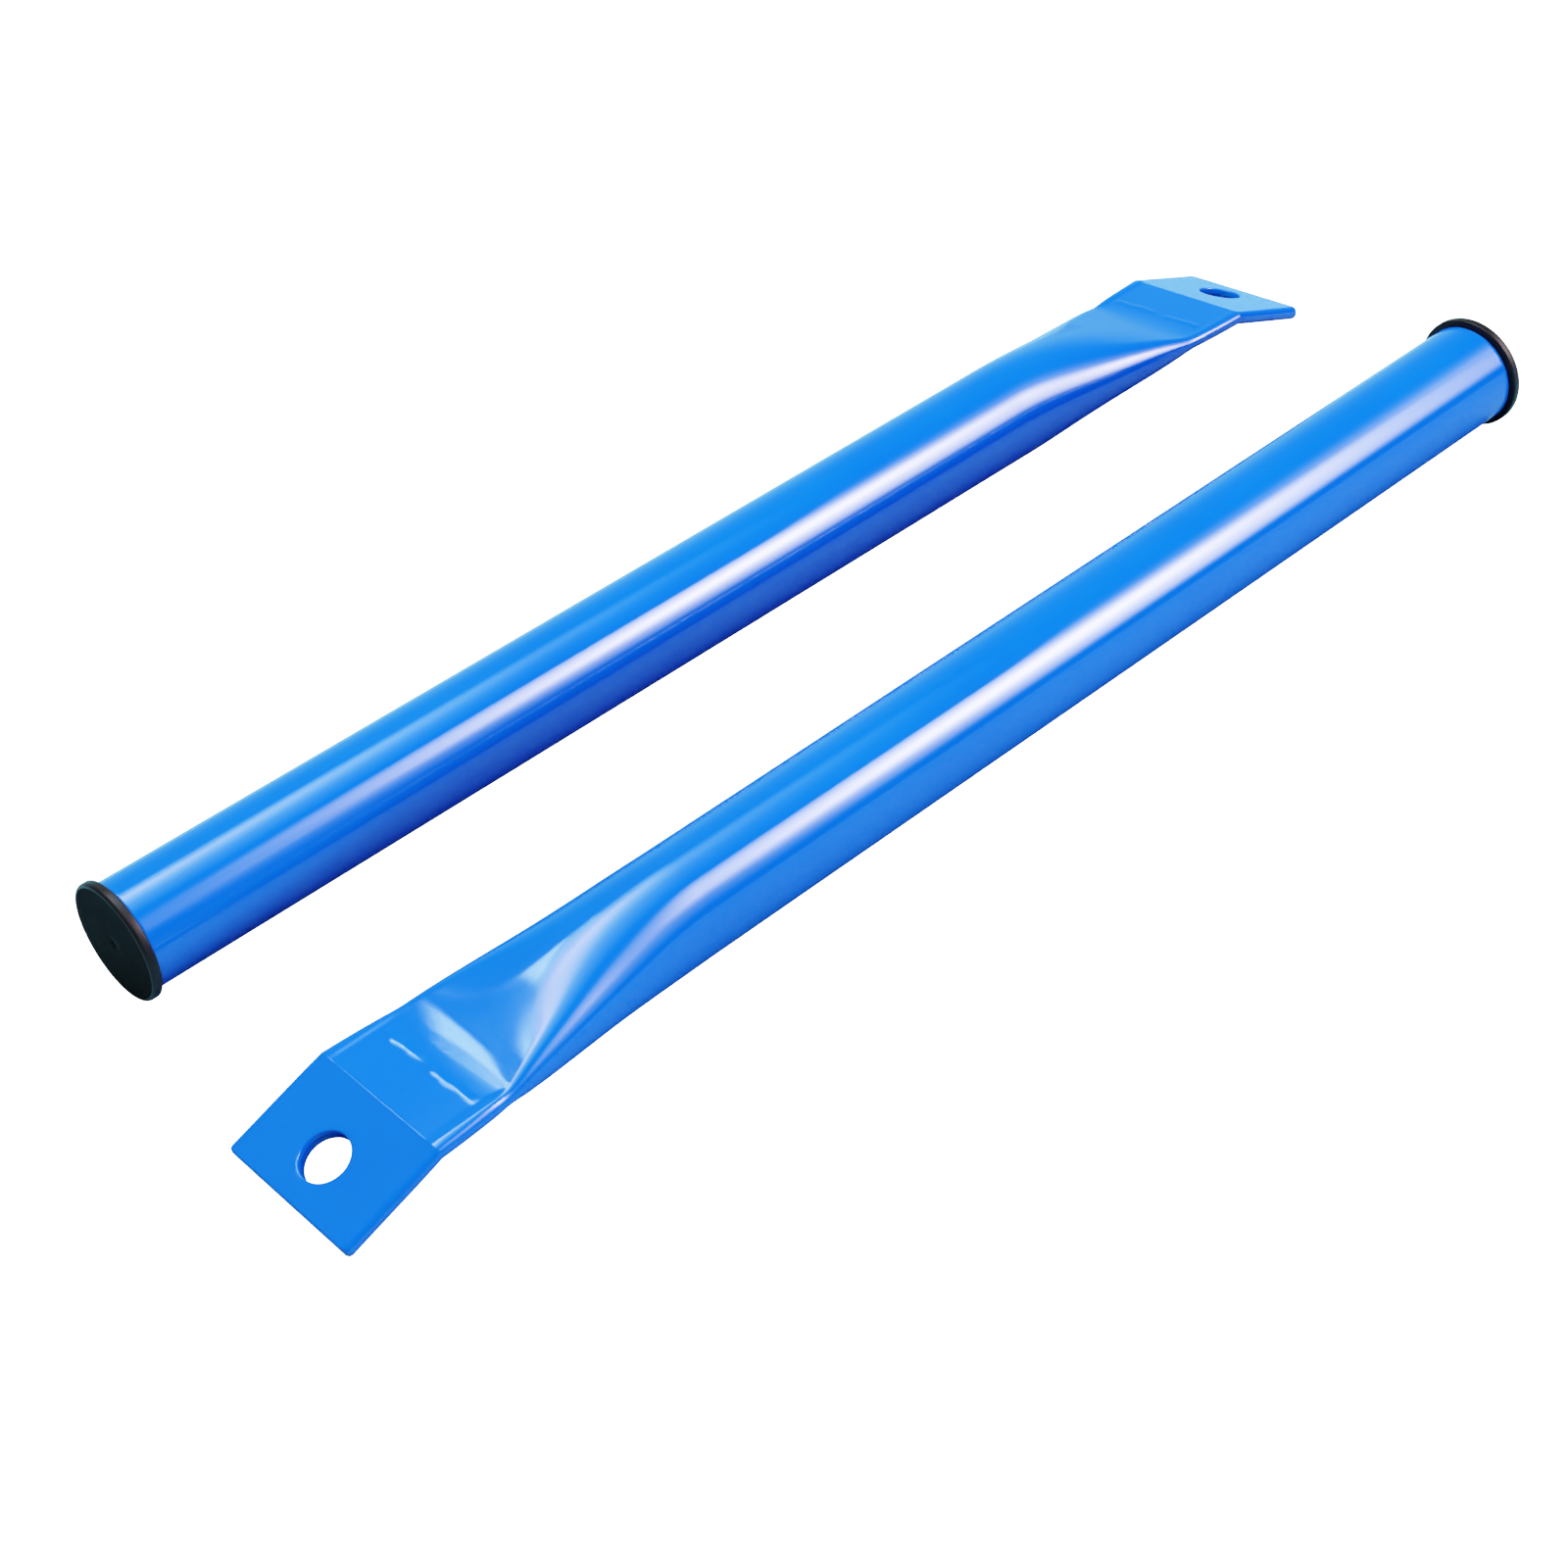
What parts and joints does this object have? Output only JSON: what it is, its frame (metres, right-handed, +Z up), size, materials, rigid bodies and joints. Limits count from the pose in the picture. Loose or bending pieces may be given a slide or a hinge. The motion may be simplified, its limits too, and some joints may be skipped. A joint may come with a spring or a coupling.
{
  "type": "tubular sway bar",
  "caption": "Straight round steel tube in blue powder coat, with one end pressed flat, bent and drilled as a bolt tab, and a black push-in plug in the other. Supplied in matching pairs.",
  "frame": {"origin": "Bottom centre of the box round both bars as they lie side by side on a flat surface.", "axes": "+X runs along the bars, towards the rear bar's bolt tab and the front bar's plug. +Y points from the front bar to the rear bar. +Z is up."},
  "size_m": [0.3862, 0.1218, 0.0282],
  "materials": {
    "blue_powder_coat": "gloss powder coat over steel tube",
    "black_plastic": "moulded satin black plastic"
  },
  "bodies": {
    "rear_bar": {"rear_tube": "blue_powder_coat"},
    "rear_plug": {"rear_end_plug": "black_plastic"},
    "front_bar": {"front_tube": "blue_powder_coat"},
    "front_plug": {"front_end_plug": "black_plastic"}
  },
  "joints": [
    {"name": "rear_plug_pull", "type": "slide", "parent": "rear_bar", "child": "rear_plug", "axis": [-1, 0, 0.0056], "range_m": [0, 0.018]},
    {"name": "front_bar_lift", "type": "slide", "parent": "rear_bar", "child": "front_bar", "axis": [0, 0, 1], "range_m": [0, 0.15]},
    {"name": "front_plug_pull", "type": "slide", "parent": "front_bar", "child": "front_plug", "axis": [0.9999, -0.0105, 0.0055], "range_m": [0, 0.018]}
  ]
}
